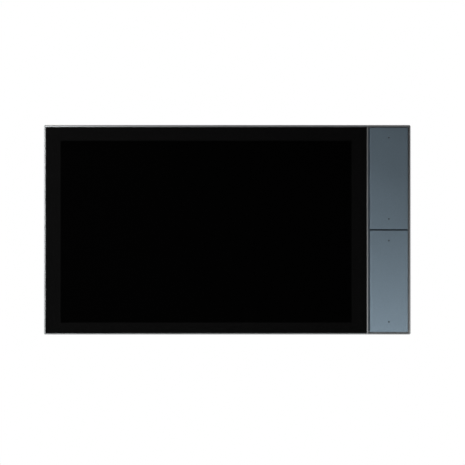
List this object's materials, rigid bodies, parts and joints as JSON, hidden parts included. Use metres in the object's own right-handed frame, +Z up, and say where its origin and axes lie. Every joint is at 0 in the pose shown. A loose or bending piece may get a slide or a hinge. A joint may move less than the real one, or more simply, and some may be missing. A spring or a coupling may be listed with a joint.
{
  "type": "video intercom monitor",
  "caption": "Wall-hung indoor intercom monitor: black touch display in a thin-lipped aluminium frame, with two tall slate rocker keys down one side.",
  "frame": {"origin": "centre of the wall bracket's rear face, on the wall", "axes": "+Z up, +X to the right as a person facing the display sees it, +Y into the wall"},
  "size_m": [0.217, 0.024, 0.124],
  "materials": {
    "anodised_silver": "bead-blasted and clear anodised, satin",
    "anodised_slate": "bead-blasted and anodised slate blue, satin",
    "black_glass": "toughened glass, black printed on the back, polished",
    "display_glass": "polished",
    "black_tape": "foam adhesive tape",
    "clear_plastic": "clear sheet",
    "tray_steel": "pressed sheet",
    "plate_alloy": "mill finish",
    "screw_steel": "black zinc plated",
    "circuit_board": "green solder resist",
    "black_resin": "moulded",
    "socket_nickel": "nickel plated",
    "terminal_plastic": "moulded polyamide",
    "black_rubber": "moulded silicone",
    "polyimide": "flexible printed circuit",
    "slate_plastic": "moulded, painted slate",
    "smoked_acrylic": "moulded, polished end",
    "black_moulded": "fine spark-eroded texture",
    "bracket_steel": "powder-coated sheet steel"
  },
  "bodies": {
    "bracket": {"wall_bracket": "bracket_steel"},
    "monitor": {"front_frame": "anodised_silver", "cover_glass": "black_glass", "glass_tape": "black_tape", "touch_sensor": "clear_plastic", "light_guide": "clear_plastic", "lcd_cell": "display_glass", "backlight_tray": "tray_steel", "mid_plate": "plate_alloy", "heat_sink": "plate_alloy", "mid_plate_screw_1": "screw_steel", "mid_plate_screw_2": "screw_steel", "mid_plate_screw_3": "screw_steel", "mid_plate_screw_4": "screw_steel", "main_board_screw_1": "screw_steel", "main_board_screw_2": "screw_steel", "main_board_screw_3": "screw_steel", "main_board_screw_4": "screw_steel", "key_board_screw_1": "screw_steel", "key_board_screw_2": "screw_steel", "rear_cover_screw_1": "screw_steel", "rear_cover_screw_2": "screw_steel", "rear_cover_screw_3": "screw_steel", "rear_cover_screw_4": "screw_steel", "rear_cover_screw_5": "screw_steel", "rear_cover_screw_6": "screw_steel", "lock_screw": "screw_steel", "main_board": "circuit_board", "key_board": "circuit_board", "processor": "black_resin", "reset_switch": "black_resin", "speaker": "black_resin", "ethernet_jack": "socket_nickel", "microphone": "socket_nickel", "terminal_block": "terminal_plastic", "speaker_gasket": "black_rubber", "microphone_boot": "black_rubber", "display_ribbon": "polyimide", "touch_ribbon": "polyimide", "key_ribbon": "polyimide", "key_carrier": "slate_plastic", "key_switch_upper_top": "black_resin", "key_switch_upper_bottom": "black_resin", "key_switch_lower_top": "black_resin", "key_switch_lower_bottom": "black_resin", "rear_cover": "black_moulded"},
    "rocker_upper": {"key_face_upper": "anodised_slate", "key_rocker_upper": "black_moulded", "light_pipe_upper_top": "smoked_acrylic", "light_pipe_upper_bottom": "smoked_acrylic"},
    "rocker_lower": {"key_face_lower": "anodised_slate", "key_rocker_lower": "black_moulded", "light_pipe_lower_top": "smoked_acrylic", "light_pipe_lower_bottom": "smoked_acrylic"},
    "plunger_upper_top": {"switch_plunger_upper_top": "black_resin"},
    "plunger_upper_bottom": {"switch_plunger_upper_bottom": "black_resin"},
    "plunger_lower_top": {"switch_plunger_lower_top": "black_resin"},
    "plunger_lower_bottom": {"switch_plunger_lower_bottom": "black_resin"},
    "reset": {"reset_button": "black_resin"}
  },
  "joints": [
    {"name": "monitor_lift", "type": "slide", "parent": "bracket", "child": "monitor", "axis": [0, 0, 1], "range_m": [0, 0.0065]},
    {"name": "key_upper_rock", "type": "hinge", "parent": "monitor", "child": "rocker_upper", "pos_m": [0.0957, -0.0202, 0.03047], "axis": [1, 0, 0], "range_deg": [-1.5, 1.5], "stiffness_Nm_per_rad": 1.3},
    {"name": "key_lower_rock", "type": "hinge", "parent": "monitor", "child": "rocker_lower", "pos_m": [0.0957, -0.0202, -0.03047], "axis": [1, 0, 0], "range_deg": [-1.5, 1.5], "stiffness_Nm_per_rad": 1.3},
    {"name": "switch_upper_top_press", "type": "slide", "parent": "monitor", "child": "plunger_upper_top", "axis": [0, 1, 0], "range_m": [-0.00046, 0.00046]},
    {"name": "switch_upper_bottom_press", "type": "slide", "parent": "monitor", "child": "plunger_upper_bottom", "axis": [0, 1, 0], "range_m": [-0.00046, 0.00046]},
    {"name": "switch_lower_top_press", "type": "slide", "parent": "monitor", "child": "plunger_lower_top", "axis": [0, 1, 0], "range_m": [-0.00046, 0.00046]},
    {"name": "switch_lower_bottom_press", "type": "slide", "parent": "monitor", "child": "plunger_lower_bottom", "axis": [0, 1, 0], "range_m": [-0.00046, 0.00046]},
    {"name": "reset_press", "type": "slide", "parent": "monitor", "child": "reset", "axis": [-1, 0, 0], "range_m": [0, 0.0005], "stiffness_N_per_m": 800, "springref_m": -0.0005}
  ],
  "couplings": [
    {"joint": "switch_upper_top_press", "follows": "key_upper_rock", "m_per_rad": -0.017},
    {"joint": "switch_upper_bottom_press", "follows": "key_upper_rock", "m_per_rad": 0.017},
    {"joint": "switch_lower_top_press", "follows": "key_lower_rock", "m_per_rad": -0.017},
    {"joint": "switch_lower_bottom_press", "follows": "key_lower_rock", "m_per_rad": 0.017}
  ]
}
